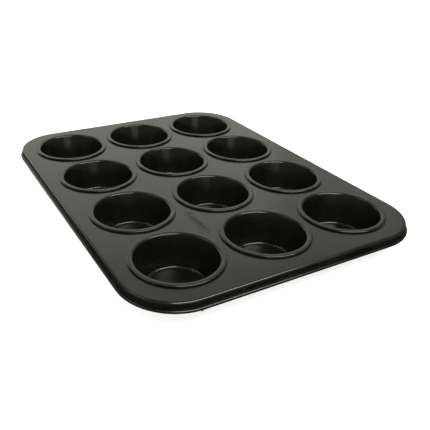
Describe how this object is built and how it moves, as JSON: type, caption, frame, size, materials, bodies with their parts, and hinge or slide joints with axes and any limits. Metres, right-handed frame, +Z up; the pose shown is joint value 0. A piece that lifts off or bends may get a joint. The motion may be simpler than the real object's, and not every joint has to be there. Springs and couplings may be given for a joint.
{
  "type": "muffin tin",
  "caption": "Rectangular dark non-stick muffin tin: round tapered cups with curled rims set in a flat deck that has a skirt and a rolled outer edge.",
  "frame": {"origin": "on the table, under the middle of the tin", "axes": "+X along the long side (four cups), +Y along the short side (three cups), +Z up"},
  "size_m": [0.35, 0.267, 0.028],
  "materials": {
    "deck_coating": "satin dark grey non-stick coating on sheet steel",
    "cup_coating": "satin dark grey non-stick coating on drawn steel",
    "rim_wire": "drawn steel wire"
  },
  "bodies": {
    "root": {"deck": "deck_coating", "rim_wire": "rim_wire", "cup_1_1": "cup_coating", "cup_2_1": "cup_coating", "cup_3_1": "cup_coating", "cup_4_1": "cup_coating", "cup_1_2": "cup_coating", "cup_2_2": "cup_coating", "cup_3_2": "cup_coating", "cup_4_2": "cup_coating", "cup_1_3": "cup_coating", "cup_2_3": "cup_coating", "cup_3_3": "cup_coating", "cup_4_3": "cup_coating"}
  },
  "joints": []
}
